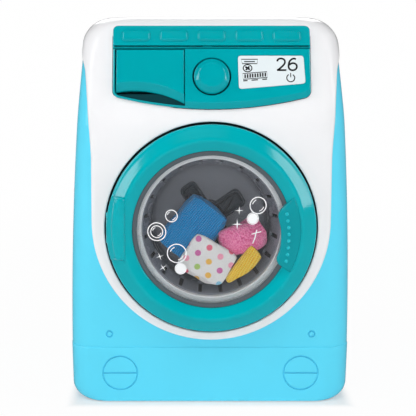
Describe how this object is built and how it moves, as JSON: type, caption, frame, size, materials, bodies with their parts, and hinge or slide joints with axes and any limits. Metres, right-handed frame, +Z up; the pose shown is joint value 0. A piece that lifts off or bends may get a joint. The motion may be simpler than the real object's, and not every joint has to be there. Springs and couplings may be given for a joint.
{
  "type": "toy washing machine",
  "caption": "Small front-loading toy washing machine with a domed door, turning drum, detergent drawer, start button and folded laundry.",
  "frame": {"origin": "on the floor under the middle of the toy's bounding box", "axes": "+Z up, the door faces -Y, +X to the right of someone facing the door"},
  "size_m": [0.1628, 0.128, 0.22],
  "materials": {
    "blue_plastic": "moulded glossy plastic",
    "white_plastic": "moulded glossy plastic",
    "teal_plastic": "moulded glossy plastic",
    "dark_teal_plastic": "moulded glossy plastic",
    "clear_plastic": "clear moulded plastic",
    "grey_plastic": "moulded plastic",
    "pale_plastic": "moulded plastic",
    "label": "printed label",
    "steel": "bright steel",
    "brass": "turned brass",
    "board": "coated circuit board",
    "black_plastic": "black plastic",
    "cell_wrap": "plastic sleeve",
    "lead_sleeve": "wire sleeve",
    "blue_cloth": "knitted cloth",
    "white_cloth": "cotton with printed dots",
    "pink_cloth": "terry cloth",
    "yellow_cloth": "waffle knit"
  },
  "bodies": {
    "cabinet": {"front_shell": "blue_plastic", "rear_shell": "blue_plastic", "base_plate": "white_plastic", "fascia": "white_plastic", "control_panel": "teal_plastic", "display_label": "label", "drawer_housing": "pale_plastic", "button_spring": "steel", "circuit_board": "board", "button_switch": "black_plastic", "speaker": "black_plastic", "speaker_clamp": "steel", "hinge_bracket": "teal_plastic", "hinge_pin": "steel", "door_catch": "pale_plastic", "tub": "pale_plastic", "tub_screws": "steel", "shaft_bush": "brass", "idler_pins": "steel", "motor": "steel", "gearbox_front": "pale_plastic", "gearbox_rear": "pale_plastic", "gearbox_screws": "steel", "batteries": "cell_wrap", "battery_contacts": "steel", "battery_cover": "white_plastic", "battery_cover_screw": "steel", "case_screws": "steel", "base_screws": "steel", "fascia_screws": "steel", "board_screws": "steel", "battery_leads": "lead_sleeve", "motor_leads": "lead_sleeve", "speaker_leads": "lead_sleeve"},
    "door": {"door_ring": "teal_plastic", "door_window": "clear_plastic", "window_retainer": "teal_plastic", "door_handle": "dark_teal_plastic", "door_screws": "steel"},
    "drum": {"drum": "grey_plastic", "agitator": "grey_plastic", "drum_shaft": "steel", "drum_gear": "white_plastic"},
    "second_idler": {"second_idler": "white_plastic"},
    "first_idler": {"first_idler": "white_plastic"},
    "motor_rotor": {"motor_pinion": "brass", "motor_shaft": "steel"},
    "drawer": {"detergent_drawer": "teal_plastic"},
    "button": {"start_button": "teal_plastic"},
    "laundry": {"blue_towel": "blue_cloth", "dotted_cloth": "white_cloth", "pink_towel": "pink_cloth", "yellow_towel": "yellow_cloth"}
  },
  "joints": [
    {"name": "door_hinge", "type": "hinge", "parent": "cabinet", "child": "door", "pos_m": [-0.0575, -0.054, 0.1018], "axis": [0, 0, -1], "range_deg": [0, 110]},
    {"name": "drum_spin", "type": "hinge", "parent": "cabinet", "child": "drum", "pos_m": [0, -0.046, 0.1018], "axis": [0, 1, 0], "continuous": true},
    {"name": "second_idler_spin", "type": "hinge", "parent": "cabinet", "child": "second_idler", "pos_m": [0.0078, 0.0028, 0.08829], "axis": [0, 1, 0], "continuous": true},
    {"name": "first_idler_spin", "type": "hinge", "parent": "cabinet", "child": "first_idler", "pos_m": [0.0006, 0.01, 0.07582], "axis": [0, 1, 0], "continuous": true},
    {"name": "motor_spin", "type": "hinge", "parent": "cabinet", "child": "motor_rotor", "pos_m": [0.0006, 0.01, 0.06202], "axis": [0, 1, 0], "continuous": true},
    {"name": "drawer_slide", "type": "slide", "parent": "cabinet", "child": "drawer", "axis": [0, -1, 0], "range_m": [0, 0.026]},
    {"name": "button_press", "type": "slide", "parent": "cabinet", "child": "button", "axis": [0, 0.9537, -0.3007], "range_m": [0, 0.0015], "stiffness_N_per_m": 300, "springref_m": -0.0005, "deforming": ["button_spring"]},
    {"name": "laundry_tumble", "type": "hinge", "parent": "cabinet", "child": "laundry", "pos_m": [0, -0.046, 0.1018], "axis": [0, 1, 0], "range_deg": [-60, 60]}
  ],
  "couplings": [
    {"joint": "second_idler_spin", "follows": "drum_spin", "ratio": -3.3333},
    {"joint": "first_idler_spin", "follows": "drum_spin", "ratio": 10},
    {"joint": "motor_spin", "follows": "drum_spin", "ratio": -36}
  ]
}
